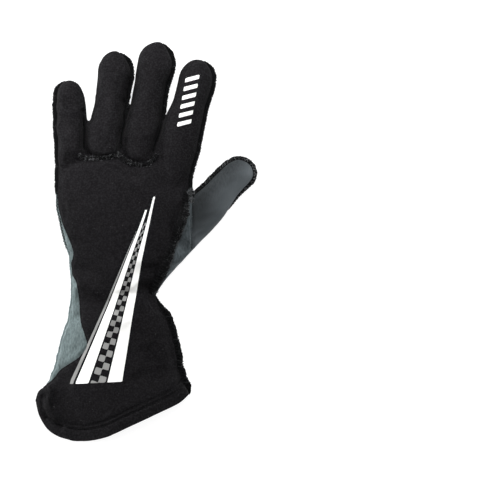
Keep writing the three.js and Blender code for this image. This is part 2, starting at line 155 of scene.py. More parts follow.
def tube_surface(tube):
    """A closed skin through a tube's sections, as points and faces."""
    rows = np.array(tube.rows, dtype=float)
    places = running_total(np.hypot(np.diff(rows[:, 0]), np.diff(rows[:, 1] + rows[:, 2]) / 2))
    fine = np.linspace(0, places[-1], int(places[-1] / FORM_STEP) + 2)
    along, left, right, top = [smooth_through(places, column, fine)[:, None] for column in rows.T]
    angle = 2 * np.pi * np.arange(FORM_SIDES)[None, :] / FORM_SIDES
    power = np.where(angle < np.pi, 2 / tube.crown, 2 / BELLY_SQUARENESS)
    across = np.sign(np.cos(angle)) * np.abs(np.cos(angle)) ** power
    up = np.sign(np.sin(angle)) * np.abs(np.sin(angle)) ** power
    offset = (right - left) / 2 + (right + left) / 2 * across
    lean = math.radians(tube.lean)
    x = tube.root[0] + along * math.sin(lean) + offset * math.cos(lean)
    y = tube.root[1] + along * math.cos(lean) - offset * math.sin(lean)
    widest = seam_height(y)
    rise = np.maximum(top - widest, LEAST_RISE) - fold_depth(x, y, SOFT_FOLDS)
    z = np.maximum(widest + up * np.where(up > 0, rise, widest + FLOOR_PRESS), 0)
    rings = np.stack([x, y, z], axis=-1)
    points = np.vstack([rings.reshape(-1, 3), rings[0].mean(axis=0), rings[-1].mean(axis=0)])
    last = (len(rings) - 1) * FORM_SIDES
    faces = []
    for side in range(FORM_SIDES):
        after = (side + 1) % FORM_SIDES
        faces.append((len(points) - 2, side, after))
        faces.append((len(points) - 1, last + after, last + side))
        for start in range(0, last, FORM_SIDES):
            faces.append((start + side, start + FORM_SIDES + side, start + FORM_SIDES + after, start + after))
    return points, faces


def joined_shapes(shapes):
    """Several shapes, each of points and faces, as one."""
    points, faces, start = [], [], 0
    for some_points, some_faces in shapes:
        points.append(some_points)
        faces.extend([[corner + start for corner in face] for face in some_faces])
        start += len(some_points)
    return np.vstack(points), faces


def new_mesh_object(name, points, faces):
    mesh = bpy.data.meshes.new(name)
    mesh.from_pydata((np.asarray(points) * MILLIMETRE).tolist(), [], faces)
    mesh.update()
    made = bpy.data.objects.new(name, mesh)
    bpy.context.scene.collection.objects.link(made)
    return made


def after_modifiers(shape):
    """A shape's mesh as its modifiers leave it, and its points in millimetres."""
    mesh = shape.evaluated_get(bpy.context.evaluated_depsgraph_get()).to_mesh()
    points = np.empty(len(mesh.vertices) * 3)
    mesh.vertices.foreach_get("co", points)
    return mesh, points.reshape(-1, 3) / MILLIMETRE


def remeshed(shape, voxel):
    """One skin round everything in shape, as points and triangles."""
    remesh = shape.modifiers.new("one_skin", "REMESH")
    remesh.mode = "VOXEL"
    remesh.voxel_size = voxel * MILLIMETRE
    mesh, points = after_modifiers(shape)
    mesh.calc_loop_triangles()
    triangles = np.empty(len(mesh.loop_triangles) * 3, dtype=np.int64)
    mesh.loop_triangles.foreach_get("vertices", triangles)
    shape.modifiers.remove(remesh)
    return points, triangles.reshape(-1, 3)


def edges_of(triangles):
    return np.unique(np.sort(triangles[:, [0, 1, 1, 2, 2, 0]].reshape(-1, 2), axis=1), axis=0)


def relaxed(points, triangles, rounds, strengths=(0.5,)):
    """The points, each moved by a share of the way to the middle of its neighbours, a few times."""
    edges = edges_of(triangles)
    ends = np.concatenate([edges[:, 0], edges[:, 1]])
    others = np.concatenate([edges[:, 1], edges[:, 0]])
    count = np.bincount(ends, minlength=len(points))[:, None]
    for strength in rounds * strengths:
        total = np.stack([np.bincount(ends, points[others, axis], len(points)) for axis in range(3)], axis=1)
        points = points + strength * (total / count - points)
    return points


def normals_of(points, triangles):
    corners = points[triangles]
    flat = np.cross(corners[:, 1] - corners[:, 0], corners[:, 2] - corners[:, 0])
    total = np.zeros_like(points)
    for corner in range(3):
        for axis in range(3):
            total[:, axis] += np.bincount(triangles[:, corner], flat[:, axis], len(points))
    return unit(total)


every_tube = (HAND, LITTLE_FINGER, RING_FINGER, MIDDLE_FINGER, INDEX_FINGER, THUMB)
form = new_mesh_object("form", *joined_shapes([tube_surface(tube) for tube in every_tube]))
form_points, form_triangles = remeshed(form, VOXEL)
form_points = relaxed(form_points, form_triangles, rounds=10, strengths=(0.5, -0.5))

# The real cloth is cut a little larger than the form, so between its seams it settles into soft
# puckers. A short simulation of a coarser bag, held at its seams, gives how far each point moves.
SLACK_VOXEL = 3.0
SLACK_FRAMES = 24
SLACK_CAP = 2.2
HELD_BAND = 2.5
THUMB_SLACK = 0.3
THUMB_ROOT_RUN = 14.0
NEAR_POINTS = 4
NEAR_BLUR = 0.3
LOWEST_POINT = 0.02

# A shrink below zero is the share by which the cloth is larger than its form.
CLOTH = {
    "quality": 6, "mass": 0.1, "tension_stiffness": 20, "compression_stiffness": 20, "shear_stiffness": 8,
    "bending_stiffness": 0.6, "vertex_group_mass": "held", "shrink_min": -0.05, "use_pressure": True,
    "uniform_pressure_force": 0.4,
}


def slack_share(points):
    """The thumb's small stiff panels settle less than the rest."""
    lean = math.radians(THUMB.lean)
    away = points[:, :2] - THUMB.root
    along = away @ [math.sin(lean), math.cos(lean)] - 0.5 * np.abs(away @ [math.cos(lean), -math.sin(lean)])
    return 1 - (1 - THUMB_SLACK) * np.clip(along / THUMB_ROOT_RUN, 0, 1)[:, None]


def settled_moves(points):
    """How far each of these points moves when the slack cloth settles."""
    coarse_points, coarse_triangles = remeshed(form, SLACK_VOXEL)
    coarse_points = relaxed(coarse_points, coarse_triangles, rounds=3)
    bag = new_mesh_object("slack_bag", coarse_points, coarse_triangles.tolist())
    from_seam = coarse_points[:, 2] - seam_height(coarse_points[:, 1])
    firmness = np.clip(1.5 - from_seam / HELD_BAND, 0, 1)
    held = bag.vertex_groups.new(name="held")
    for place in np.flatnonzero(firmness > 0).tolist():
        held.add([place], float(firmness[place]), "REPLACE")
    cloth = bag.modifiers.new("settle", "CLOTH")
    for setting, value in CLOTH.items():
        setattr(cloth.settings, setting, value)
    cloth.settings.effector_weights.gravity = 0
    cloth.collision_settings.use_collision = False
    cloth.point_cache.frame_end = SLACK_FRAMES
    for step in range(1, SLACK_FRAMES + 1):
        bpy.context.scene.frame_set(step)
    moves = after_modifiers(bag)[1] - coarse_points
    bpy.context.scene.frame_set(1)
    bpy.data.objects.remove(bag)
    far = np.linalg.norm(moves, axis=1, keepdims=True)
    moves *= SLACK_CAP * np.tanh(far / SLACK_CAP) / np.maximum(far, 1e-9)
    tree = KDTree(len(coarse_points))
    for place, point in enumerate(coarse_points.tolist()):
        tree.insert(point, place)
    tree.balance()
    fine_moves = np.empty_like(points)
    for place, point in enumerate(points.tolist()):
        found = tree.find_n(point, NEAR_POINTS)
        weights = np.array([1 / (away + NEAR_BLUR) ** 2 for _, _, away in found])
        fine_moves[place] = weights @ moves[[near for _, near, _ in found]] / weights.sum()
    return fine_moves


settled = relaxed(settled_moves(form_points), form_triangles, rounds=5)
form_points = form_points + slack_share(form_points) * settled
form_points[:, 2] = np.maximum(form_points[:, 2], LOWEST_POINT)
form_normals = normals_of(form_points, form_triangles)
bpy.data.objects.remove(form)

# The panels are sewn together along these joins, seen from above as smooth curves through (x, y)
# places. Each line of stitches draws the cloth in, a join between panels more than a row of the hem.
MOUTH_EDGE = [
    (60, -99.4), (44, -113.4), (36, -121), (27.4, -128.6), (10.2, -136.7), (-9.4, -145.8), (-28, -154.2),
    (-42, -157.9), (-52, -158.2), (-65.4, -156), (-75.8, -151), (-82.4, -142.8), (-86.2, -133.4),
    (-87.6, -127.4), (-91, -121), (-97, -117),
]
THUMB_SIDE_JOIN = [
    (48, 58), (38, 48), (34.2, 41), (31.6, 35), (31, 22), (28.6, 12), (24.4, 0), (21, -11), (17.2, -23),
    (13, -33), (9.2, -40.4), (11, -46), (22, -52), (36, -62), (50, -80),
]
GUSSET_JOIN = [
    (-82, 38), (-72, 33), (-68.8, 23), (-66, 13.6), (-62.2, 5), (-57.6, -7), (-57.8, -13), (-60.4, -20),
    (-59, -26), (-55, -33), (-52.8, -46), (-51.4, -63), (-48, -74), (-46, -83), (-51.6, -91.4),
    (-59.6, -97), (-67.6, -102.4), (-72, -108), (-76, -112), (-81, -115), (-92, -119),
]
RING_BACK_JOIN = [
    (-46, 120), (-47.4, 106), (-48.4, 95.4), (-48.8, 84), (-48, 74), (-43, 68.4), (-35, 66.6),
    (-28, 67.6), (-20, 70), (-14, 76), (-12, 88), (-10, 100), (-8, 120),
]
MIDDLE_BACK_JOIN = [
    (-11.6, 124), (-14.5, 107), (-16.6, 98), (-18.4, 88), (-19.6, 77), (-16.6, 68.4), (-10, 63),
    (-2, 60.6), (4, 62.6), (6.8, 69), (8.8, 79), (12, 90), (14.6, 99), (19, 120),
]
CURVE_DETAIL = 12
CURVE_STEP = 2.0
HALF_GAP = 0.08
HEM_BAND_WIDTH = 9.6

# The hem's rows lie this far from the mouth. Dips are (depth, half width). Those of the joins fade in
# over a few millimetres above the side seams.
HEM_ROWS = (8.8, 12.2)
ROW_DIP = (0.85, 0.9)
JOIN_DIPS = {"gusset": (1.0, 1.9), "ring": (1.7, 1.7), "middle": (1.7, 1.7), "thumb": (2.2, 1.5)}
DIP_FADE = 3.0
FINGER_DIPS_END = 84.0
FINGER_DIPS_FADE = 10.0
LEAST_ABOVE_SEAM = 1.2


def spaced_evenly(line, step):
    run = running_total(np.linalg.norm(np.diff(line, axis=0), axis=1))
    wanted = np.linspace(0, run[-1], max(int(round(run[-1] / step)), 1) + 1)
    return np.stack([np.interp(wanted, run, column) for column in line.T], axis=1)


def curve_through(places):
    """Evenly spaced places along a smooth curve through the given ones."""
    given = np.array(places, dtype=float)
    padded = np.vstack([2 * given[0] - given[1], given, 2 * given[-1] - given[-2]])
    u = np.linspace(0, 1, CURVE_DETAIL, endpoint=False)[:, None]
    dense = []
    for before, start, end, after in zip(padded, padded[1:], padded[2:], padded[3:]):
        dense.append(0.5 * (2 * start + (end - before) * u + (2 * before - 5 * start + 4 * end - after) * u**2
                            + (3 * start - before - 3 * end + after) * u**3))
    return spaced_evenly(np.vstack([*dense, given[-1:]]), CURVE_STEP)


def inside_by(points, outline):
    """How far each point lies inside a plan outline, in millimetres, and below zero outside it."""
    starts = np.asarray(outline, dtype=float)
    runs = np.roll(starts, -1, axis=0) - starts
    nearest = np.full(len(points), np.inf)
    crossings = np.zeros(len(points), dtype=int)
    for start, run in zip(starts, runs):
        away = points[:, :2] - start
        share = np.clip(away @ run / max(run @ run, 1e-12), 0, 1)
        nearest = np.minimum(nearest, np.linalg.norm(away - share[:, None] * run, axis=1))
        spans = (away[:, 1] >= 0) != (away[:, 1] >= run[1])
        if run[1] != 0:
            crossings += spans & (away[:, 0] < run[0] * away[:, 1] / run[1])
    return np.where(crossings % 2 == 1, nearest, -nearest)


# Each join's line, closed well outside the glove round the side that the name says.
REGIONS = {
    "mouth": [*curve_through(MOUTH_EDGE), (-120, -100), (-120, 200), (120, 200), (120, -90)],
    "thumb_side": [*curve_through(THUMB_SIDE_JOIN), (200, -80), (200, 58)],
    "gusset": [*curve_through(GUSSET_JOIN), (-130, -119), (-130, 44)],
    "ring": [*curve_through(RING_BACK_JOIN), (8, 175), (-44, 175)],
    "middle": [*curve_through(MIDDLE_BACK_JOIN), (30, 175), (-9, 175)],
    "thumb": [(37.4, -30), (37.4, 42), (59.4, 75), (120, 110), (120, -30)],
}


def region(name):
    return lambda points: inside_by(points, REGIONS[name])


def above_seams(points):
    return points[:, 2] - seam_height(points[:, 1])


def back_side(points):
    return np.minimum(above_seams(points), -region("thumb_side")(points))


def crossings(points, triangles, values):
    """Which points are above zero, where the values cross zero on an edge, and each edge's number there."""
    above = values > 0
    pairs = edges_of(triangles)
    crossed = pairs[above[pairs[:, 0]] != above[pairs[:, 1]]]
    first, second = crossed.T
    share = values[first] / (values[first] - values[second])
    places = points[first] + share[:, None] * (points[second] - points[first])
    number = {(a, b): place for place, (a, b) in enumerate(crossed.tolist())}
    number.update({(b, a): place for (a, b), place in number.items()})
    return above, places, number


def cut(points, triangles, values):
    """Cuts triangles where the values at the points cross zero. Gives the part above, and that below."""
    above, added, number = crossings(points, triangles, values)
    every_point = np.vstack([points, added])
    whole = above[triangles].sum(axis=1)
    kept = {True: triangles[whole == 3], False: triangles[whole == 0]}
    split = {True: [], False: []}
    for triangle in triangles[(whole == 1) | (whole == 2)].tolist():
        sides = [bool(above[corner]) for corner in triangle]
        lone = sides.index(sides.count(True) == 1)
        a, b, c = triangle[lone], triangle[(lone + 1) % 3], triangle[(lone + 2) % 3]
        ab = len(points) + number[a, b]
        ac = len(points) + number[a, c]
        split[sides[lone]].append((a, ab, ac))
        split[not sides[lone]] += [(ab, b, c), (ab, c, ac)]
    parts = []
    for side in (True, False):
        faces = np.vstack([kept[side], np.array(split[side], dtype=np.int64).reshape(-1, 3)])
        used, faces = np.unique(faces, return_inverse=True)
        parts.append((every_point[used], faces.reshape(-1, 3)))
    return parts


def split_by(part, value_at):
    """The two sides of a part, a narrow seam gap apart."""
    values = value_at(part[0])
    above = cut(*part, values - HALF_GAP)[0]
    below = cut(*part, values + HALF_GAP)[1]
    return above, below


def dipped_along(points, away, dip):
    """The points drawn in along a stitched line that they lie this far away from."""
    depth, half_width = dip
    return points - form_normals * (depth * np.exp(-((away / half_width) ** 2)))[:, None]


upper_side = np.clip(above_seams(form_points) / DIP_FADE, 0, 1)[:, None]
near_knuckles = np.clip((FINGER_DIPS_END - form_points[:, 1]) / FINGER_DIPS_FADE, 0, 1)[:, None]
off_middle = np.clip(-region("middle")(form_points), 0, 1)[:, None]
dip_shares = {"ring": near_knuckles * off_middle, "middle": near_knuckles}
dipped_points = form_points
for joined, dip in JOIN_DIPS.items():
    drawn_in = dipped_along(dipped_points, region(joined)(form_points), dip)
    dipped_points = dipped_points + dip_shares.get(joined, 1) * (drawn_in - dipped_points)
form_points = form_points + upper_side * (dipped_points - form_points)
fold = fold_depth(form_points[:, 0], form_points[:, 1], SHARP_FOLDS)
ridge = fold_depth(form_points[:, 0], form_points[:, 1], SHARP_RIDGES)
room = np.maximum(above_seams(form_points) - LEAST_ABOVE_SEAM, 0.05)
sunk = room * (1 - np.exp(-fold / room))
form_points[:, 2] += upper_side[:, 0] * (ridge - sunk)
for row in HEM_ROWS:
    form_points = dipped_along(form_points, region("mouth")(form_points) - row, ROW_DIP)
form_points[:, 2] = np.maximum(form_points[:, 2], LOWEST_POINT)

whole_bag = cut(form_points, form_triangles, region("mouth")(form_points))[0]
body_part, hem_part = split_by(whole_bag, lambda points: region("mouth")(points) - HEM_BAND_WIDTH)
thumb_part, hand_part = split_by(body_part, region("thumb"))
thumb_back_part, thumb_front_part = split_by(thumb_part, above_seams)
upper_part, palm_part = split_by(hand_part, back_side)
middle_part, upper_part = split_by(upper_part, region("middle"))
ring_part, upper_part = split_by(upper_part, region("ring"))
gusset_part, back_part = split_by(upper_part, region("gusset"))


# The back of the hand and the cuff, with the backs of the little and index fingers, is one piece of
# black fine-gauge knit. It is cut out along its seams and sewn to the other panels at every edge.
CLOTH_THICKNESS = 2.0
LOWEST_WALL = 0.01
SMOOTH_BELOW = math.radians(50)
KNIT_LOOP_WIDTH = 1.05
KNIT_LOOP_LENGTH = 0.85
KNIT_LEG_SLANT = 1.5
KNIT_COLOUR = (0.0092, 0.0089, 0.0097)
LINT_COLOUR = (0.06, 0.06, 0.06)
# Painted shade on the knit: darker and darker from the first y, in metres, to the second, by at most this
# share.
PAINTED_SHADE_FROM = 0.085
PAINTED_SHADE_FULL_AT = 0.006
PAINTED_SHADE_STRENGTH = 0.3


def with_thickness(part, thickness=CLOTH_THICKNESS, raised=0.0):
    """A part of the form as a closed wall, with its inner face and its cut edges."""
    points, triangles = part
    normals = normals_of(points, triangles)
    outer = points + normals * raised
    inner = outer - normals * thickness
    outer[:, 2] = np.maximum(outer[:, 2], LOWEST_WALL)
    directed = triangles[:, [0, 1, 1, 2, 2, 0]].reshape(-1, 2)
    _, place, used = np.unique(np.sort(directed, axis=1), axis=0, return_index=True, return_counts=True)
    rim = directed[place[used == 1]]
    count = len(points)
    rim_faces = np.stack([rim[:, 1], rim[:, 0], rim[:, 0] + count, rim[:, 1] + count], axis=1)
    faces = [*triangles.tolist(), *(triangles[:, ::-1] + count).tolist(), *rim_faces.tolist()]
    return np.vstack([outer, inner]), faces


def add_piece(name, shape, material, node=None):
    piece = new_mesh_object(name, *shape)
    piece.data.materials.append(material)
    piece.data.shade_smooth()
    piece.data.set_sharp_from_angle(angle=SMOOTH_BELOW)
    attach(piece, "root")
    if node:
        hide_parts(node)
    return piece


def set_inputs(tree, node, inputs):
    """Sets a node's inputs to numbers, colours of three parts, or the outputs of other nodes."""
    for socket, value in inputs.items():
        if isinstance(value, bpy.types.NodeSocket):
            tree.links.new(value, node.inputs[socket])
        elif node.inputs[socket].type == "RGBA":
            node.inputs[socket].default_value = (*value, 1)
        else:
            node.inputs[socket].default_value = value


def add_node(tree, kind, inputs=None, output=0, **settings):
    """One output of a new node."""
    made = tree.nodes.new(f"ShaderNode{kind}")
    for setting, value in settings.items():
        setattr(made, setting, value)
    set_inputs(tree, made, inputs or {})
    return made.outputs[output]


def worked_out(tree, operation, *values):
    return add_node(tree, "Math", dict(enumerate(values)), operation=operation)


def times(tree, first, second):
    return worked_out(tree, "MULTIPLY", first, second)


def blended(tree, share, first, second):
    return add_node(tree, "Mix", {0: share, 6: first, 7: second}, output=2, data_type="RGBA")


def ramp(tree, value, start, end, **settings):
    """0 where the value is at start, rising to 1 where it is at end."""
    return add_node(tree, "MapRange", {0: value, 1: start, 2: end}, **settings)


def noise(tree, where, scale, detail=2, low=0.3, high=0.7):
    """Noise stretched so that low to high gives 0 to 1."""
    made = add_node(tree, "TexNoise", {"Vector": where, "Scale": scale, "Detail": detail})
    return ramp(tree, made, low, high)


def parts_of(tree, vector):
    """The x, y and z of a vector."""
    return list(add_node(tree, "SeparateXYZ", {0: vector}).node.outputs)


def scaled(colour, factor):
    return tuple(factor * part for part in colour)


def new_material(name, roughness, sheen=0.0, sheen_roughness=0.5, sheen_tint=(1, 1, 1), shine=0.1):
    """A material with this finish, its node tree, and the place on the object that its patterns follow."""
    material = bpy.data.materials.new(name)
    material.use_nodes = True
    tree = material.node_tree
    set_inputs(tree, tree.nodes["Principled BSDF"], {
        "Roughness": roughness, "Specular IOR Level": shine, "Sheen Weight": sheen,
        "Sheen Roughness": sheen_roughness, "Sheen Tint": sheen_tint,
    })
    return material, tree, add_node(tree, "TexCoord", output="Object")


def set_surface(tree, colour, relief, strength, depth):
    """Gives a material its colour, and a relief this many metres deep."""
    bump = add_node(tree, "Bump", {"Height": relief, "Strength": strength, "Distance": depth})
    set_inputs(tree, tree.nodes["Principled BSDF"], {"Base Color": colour, "Normal": bump})


def loop_height(tree, across, along):
    """One patch of knit: columns of V-shaped loops, each leg rounded, as a height from 0 to 1."""
    columns = times(tree, across, 1 / MILLIMETRE / KNIT_LOOP_WIDTH)
    courses = times(tree, along, 1 / MILLIMETRE / KNIT_LOOP_LENGTH)
    from_edge = worked_out(tree, "PINGPONG", columns, 0.5)
    slanted = worked_out(tree, "MULTIPLY_ADD", from_edge, KNIT_LEG_SLANT, courses)
    legs = worked_out(tree, "SINE", times(tree, slanted, 2 * math.pi))
    leg_height = worked_out(tree, "MULTIPLY_ADD", legs, 0.3, 0.7)
    groove = worked_out(tree, "SINE", times(tree, from_edge, 2 * math.pi))
    rounded = worked_out(tree, "POWER", worked_out(tree, "ABSOLUTE", groove), 0.6)
    return times(tree, leg_height, rounded)


def knit_height(tree, where):
    """The knit's loops on a surface that faces any way: seen from the side, end on and from above."""
    facing = parts_of(tree, add_node(tree, "NewGeometry", output="Normal"))
    facing = [worked_out(tree, "ABSOLUTE", part) for part in facing]
    axis = parts_of(tree, where)
    from_side = loop_height(tree, axis[2], axis[1])
    from_end = loop_height(tree, axis[0], axis[2])
    from_above = loop_height(tree, axis[0], axis[1])
    sideways = worked_out(tree, "GREATER_THAN", facing[0], facing[1])
    upright = add_node(tree, "Mix", {0: sideways, 2: from_end, 3: from_side})
    flat = ramp(tree, facing[2], 0.45, 0.65)
    return add_node(tree, "Mix", {0: flat, 2: upright, 3: from_above})


def knit_material(name, lean=0):
    """Black knit whose columns of loops run along a finger. Painted shade darkens it from the knuckles down
    to the cuff.
    """
    material, tree, where = new_material(name, 0.9, sheen=0.02, sheen_roughness=0.3, shine=0.02)
    turned = add_node(tree, "Mapping", {"Vector": where, "Rotation": (0, 0, math.radians(lean))})
    height = knit_height(tree, turned)
    dark = scaled(KNIT_COLOUR, 0.3)
    colour = blended(tree, height, dark, scaled(KNIT_COLOUR, 1.3))
    # The third tint is painted shade, darker towards the cuff; the others are the knit's own cloudy tone,
    # grain and lint.
    for share, strength, tint in (
        (noise(tree, where, 45, detail=4), 0.35, dark),
        (noise(tree, where, 750, low=0.4), 0.6, scaled(KNIT_COLOUR, 2.4)),
        (ramp(tree, parts_of(tree, where)[1], PAINTED_SHADE_FROM, PAINTED_SHADE_FULL_AT), PAINTED_SHADE_STRENGTH, dark),
        (noise(tree, where, 650, detail=1, low=0.74, high=0.8), 0.4, LINT_COLOUR),
    ):
        colour = blended(tree, times(tree, share, strength), colour, tint)
    relief = worked_out(tree, "MULTIPLY_ADD", noise(tree, where, 2500), 0.35, height)
    set_surface(tree, colour, relief, 0.6, 0.00025)
    return material


back_knit = knit_material("black_knit")
add_piece("back_panel_knit", with_thickness(back_part), back_knit, "back_panel")

# The backs of the ring and middle fingers are cut apart from the rest, each a tube of the same knit
# with its loops along the finger. They are set into the knuckle seam, so they bulge up behind it.
for finger, part, tube in (("ring", ring_part, RING_FINGER), ("middle", middle_part, MIDDLE_FINGER)):
    finger_knit = knit_material(f"{finger}_finger_knit", tube.lean)
    add_piece(f"{finger}_finger_back_knit", with_thickness(part), finger_knit,
              f"{finger}_finger_back")

# The cuff ends in a hem: the knit is turned in once, so it is a little thicker there, and is sewn down
# by two rows of short stitches right round the mouth, which lie across the row.
HEM_FOLD_THICKNESS = 2.9
HEM_RAISED = 0.15
HEM_STITCH_LENGTH = 2.6
HEM_STITCH_PITCH = 1.8
HEM_STITCH_RAISED = 0.12
HEM_STITCH_SHADE = 0.04
HEM_STITCH_STEP = 1.0
HEM_THREAD_RADIUS = 0.32
STITCH_PLACES = 5
STITCH_DIP = np.array([-0.35, 0.0, 0.1, 0.0, -0.35])
STITCH_SLANT = 0.2
STITCH_JITTER = 0.12
THREAD_SIDES = 6
draw = np.random.default_rng(seed=41)
surface = BVHTree.FromPolygons(form_points.tolist(), form_triangles.tolist())

# A seam's line, the ways out and up from it, and how far along it each of its places is.
Seam = namedtuple("Seam", "line out up run")


def tubes_through(rings):
    """Closed tubes through rings of points, given as (tube, ring, corner, xyz)."""
    number = np.arange(rings.shape[0] * rings.shape[1] * rings.shape[2]).reshape(rings.shape[:3])
    start, end = number[:, :-1], number[:, 1:]
    quads = np.stack([start, np.roll(start, -1, axis=2), np.roll(end, -1, axis=2), end], axis=-1)
    caps = [number[:, 0, ::-1], number[:, -1]]
    faces = quads.reshape(-1, 4).tolist() + np.vstack(caps).tolist()
    return rings.reshape(-1, 3), faces


def strands(paths, radii, sides=THREAD_SIDES):
    """Round threads along many short paths, given as (thread, place, xyz)."""
    tangent = unit(np.gradient(paths, axis=1))
    aside = np.where(np.abs(tangent[..., 2:]) < 0.8, [0.0, 0.0, 1.0], [1.0, 0.0, 0.0])
    first = unit(np.cross(tangent, aside))
    second = np.cross(tangent, first)
    angle = 2 * np.pi * np.arange(sides) / sides
    turn = first[:, :, None] * np.cos(angle)[:, None] + second[:, :, None] * np.sin(angle)[:, None]
    return tubes_through(paths[:, :, None] + turn * np.broadcast_to(radii, paths.shape[:2])[:, :, None, None])


def zero_lines(points, triangles, values):
    """The lines on a form along which the values at its points are zero."""
    above, places, number = crossings(points, triangles, values)
    joined = [[] for _ in places]
    mixed = triangles[(above[triangles].sum(axis=1) % 3) > 0]
    for a, b, c in mixed.tolist():
        ends = [number[pair] for pair in ((a, b), (b, c), (a, c)) if pair in number]
        joined[ends[0]].append(ends[1])
        joined[ends[1]].append(ends[0])
    seen = [False] * len(places)
    lines = []
    for first in sorted(range(len(places)), key=lambda place: len(joined[place]) > 1):
        if seen[first]:
            continue
        line = [first]
        seen[first] = True
        while True:
            ahead = [place for place in joined[line[-1]] if not seen[place]]
            if not ahead:
                break
            seen[ahead[0]] = True
            line.append(ahead[0])
        lines.append(places[line])
    return lines


def smoothed(values, rounds=4):
    for _ in range(rounds):
        ends = np.vstack([values[:1], values, values[-1:]])
        values = (ends[:-2] + 2 * ends[1:-1] + ends[2:]) / 4
    return values


def seam_along(line, step, outward=False, fade=(0.1, 0.1)):
    """A seam's line on the glove, with the way out and the way up from it, which die out at its ends."""
    line = smoothed(spaced_evenly(line, step))
    normal = np.array([surface.find_nearest(place)[1] for place in line.tolist()])
    tangent = unit(np.gradient(line, axis=0))
    run = step * np.arange(len(line))
    ends = np.minimum(run / fade[0], (run[-1] - run) / fade[1])
    share = np.clip(ends, 0.01, 1)[:, None] ** 0.7
    if outward:
        out = unit(smoothed(normal * (1, 1, 0)))
        up = unit(np.cross(tangent, out))
        up *= np.sign(up[:, 2].mean())
    else:
        up = unit(smoothed(normal))
        out = unit(np.cross(up, tangent))
    return Seam(line, share * out, share * up, run)


def on_seam(seam, along, out, up):
    """Places on a seam, from how far along, how far out and how far up each is."""
    line, outward, upward = [np.stack([np.interp(along, seam.run, column) for column in values.T], axis=-1)
                             for values in (seam.line, seam.out, seam.up)]
    return line + outward * np.asarray(out)[..., None] + upward * np.asarray(up)[..., None]


def with_shade(piece, shade):
    attribute = piece.data.attributes.new("shade", "FLOAT", "POINT")
    attribute.data.foreach_set("value", np.asarray(shade, dtype=np.float32))


def thread_material(name, dark, light):
    """Spun thread, from dark to light by each strand's own shade, with a fine twist."""
    material, tree, where = new_material(name, 0.8, sheen=0.02, shine=0.05)
    shade = add_node(tree, "Attribute", output="Fac", attribute_name="shade")
    fibres = noise(tree, where, 2600)
    colour = blended(tree, shade, dark, light)
    set_surface(tree, blended(tree, times(tree, fibres, 0.5), colour, dark), fibres, 0.4, 0.0001)
    return material


black_thread = thread_material("black_thread", (0.002, 0.002, 0.0023), (0.15, 0.155, 0.16))


def cross_stitches(seam, length, pitch, radius, up):
    """Stitches side by side along a row, each a thread across it that dips in at both ends."""
    count = max(int(seam.run[-1] / pitch), 1)
    start = pitch * np.arange(count) + draw.normal(0, STITCH_JITTER, count)
    across = np.linspace(-0.5, 0.5, STITCH_PLACES)
    along = start[:, None] + STITCH_SLANT * length * across
    out = length * across * draw.uniform(0.8, 1.15, (count, 1))
    return strands(on_seam(seam, along, out, np.broadcast_to(up + STITCH_DIP, along.shape)), radius)


hem_wall = with_thickness(hem_part, HEM_FOLD_THICKNESS, HEM_RAISED)
add_piece("cuff_hem_knit", hem_wall, back_knit, "cuff_hem")
from_mouth = region("mouth")(form_points)
hem_stitches = []
for row in HEM_ROWS:
    stitch_height = HEM_STITCH_RAISED + HEM_RAISED * (row < HEM_BAND_WIDTH)
    for line in zero_lines(form_points, form_triangles, from_mouth - row):
        hem_seam = seam_along(line, HEM_STITCH_STEP)
        hem_stitches.append(cross_stitches(
            hem_seam, HEM_STITCH_LENGTH, HEM_STITCH_PITCH, HEM_THREAD_RADIUS, stitch_height))
hem_rows = add_piece("hem_stitches", joined_shapes(hem_stitches), black_thread)
stitch_corners = STITCH_PLACES * THREAD_SIDES
stitch_count = len(hem_rows.data.vertices) // stitch_corners
with_shade(hem_rows, np.repeat(draw.uniform(0, HEM_STITCH_SHADE, stitch_count), stitch_corners))

# The palm and the fronts of the fingers are one piece of grey suede. It comes up over the side of the
# hand beside the thumb, and lies flat where the glove rests on it.
PALM_COLOUR = (0.052, 0.062, 0.067)


def suede_material(name, base_colour, lean=0, painted_shade=None, painted_light=None, sheen=0.3):
    """Suede: a short nap, cloudy in places, paler where it is seen edge on.

    A patch of painted shade is (centre, reach, strength); painted light that grows paler one way
    across the surface is (direction, (from, to), how many times paler)."""
    material, tree, where = new_material(name, 0.95, sheen, sheen_roughness=0.35, sheen_tint=(0.85, 0.97, 1))
    stretched = add_node(tree, "Mapping", {
        "Vector": where, "Rotation": (0, 0, math.radians(lean)), "Scale": (1, 0.35, 1)})
    dark = scaled(base_colour, 0.5)
    cloudy = noise(tree, stretched, 60, detail=4)
    nap = worked_out(tree, "MULTIPLY_ADD", noise(tree, stretched, 900, detail=3), 0.7, 0.15)
    colour = blended(tree, nap, dark, scaled(base_colour, 1.5))
    colour = blended(tree, times(tree, cloudy, 0.35), colour, dark)
    # Painted light: the colour turns paler and paler one way across the surface.
    if painted_light:
        direction, (start, end), paler = painted_light
        place = add_node(tree, "VectorMath", {0: where, 1: direction}, "Value", operation="DOT_PRODUCT")
        share = ramp(tree, place, start, end, interpolation_type="SMOOTHSTEP")
        colour = blended(tree, share, colour, scaled(base_colour, paler))
    # Painted shade: the colour is darkened near the given centre.
    if painted_shade:
        centre, reach, strength = painted_shade
        away = add_node(tree, "VectorMath", {0: where, 1: centre}, "Value", operation="DISTANCE")
        near = ramp(tree, away, reach, 0.25 * reach)
        colour = blended(tree, times(tree, near, strength), colour, scaled(dark, 0.4))
    relief = worked_out(tree, "MULTIPLY_ADD", cloudy, 0.6, noise(tree, stretched, 2200, detail=3))
    set_surface(tree, colour, relief, 0.55, 0.0002)
    return material


palm_suede = suede_material("grey_suede", PALM_COLOUR)
add_piece("palm_panel_suede", with_thickness(palm_part), palm_suede, "palm_panel")

